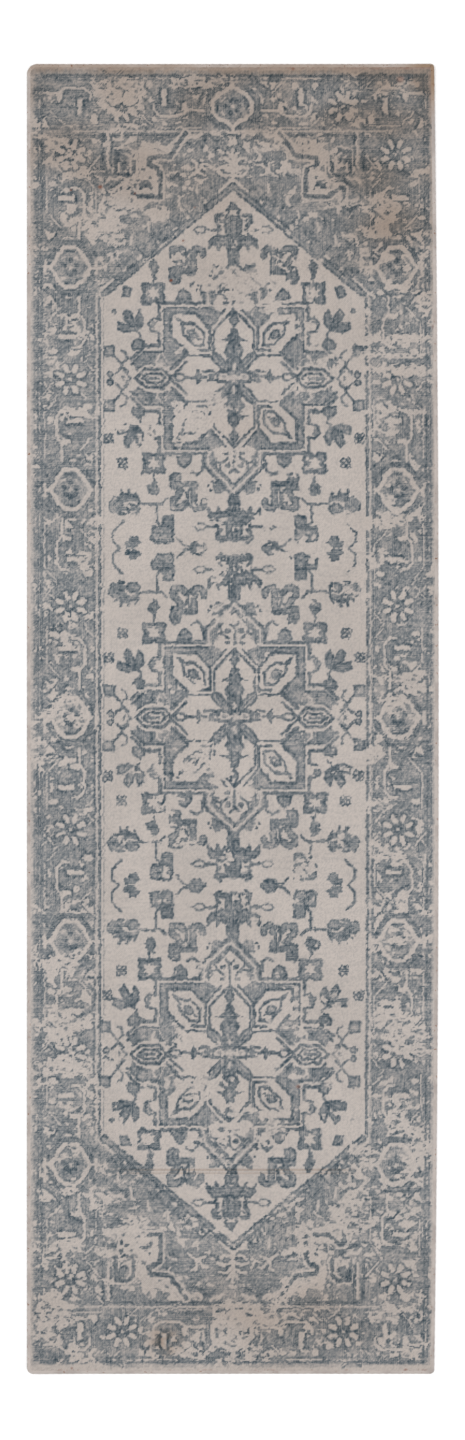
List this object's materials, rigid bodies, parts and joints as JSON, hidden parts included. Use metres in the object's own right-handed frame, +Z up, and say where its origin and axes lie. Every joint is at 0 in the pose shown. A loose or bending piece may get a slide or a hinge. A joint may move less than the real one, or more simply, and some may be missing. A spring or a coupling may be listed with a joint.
{
  "type": "runner rug",
  "caption": "Long narrow low-pile runner rug with a faded medallion pattern, serged edges, a corded selvedge on each side, a cloth backing and end tapes.",
  "frame": {"origin": "on the floor, at the middle of the rug's footprint", "axes": "+Z up out of the pile face, +Y along the rug's length towards its head end, +X across it towards its bowed side"},
  "size_m": [0.766, 2.438, 0.006],
  "materials": {
    "pile": "matte",
    "ground": "matte",
    "latex": "matte",
    "backing": "matte",
    "serging_yarn": "matte",
    "cord": "matte",
    "tape": "matte",
    "label": "satin"
  },
  "bodies": {
    "root": {"pile_face": "pile", "ground_weave": "ground", "latex_coat": "latex", "backing_cloth": "backing", "serging_left": "serging_yarn", "serging_right": "serging_yarn", "serging_head": "serging_yarn", "serging_foot": "serging_yarn", "side_cord_left": "cord", "side_cord_right": "cord", "end_tape_head": "tape", "end_tape_foot": "tape", "care_label": "label"}
  },
  "joints": []
}
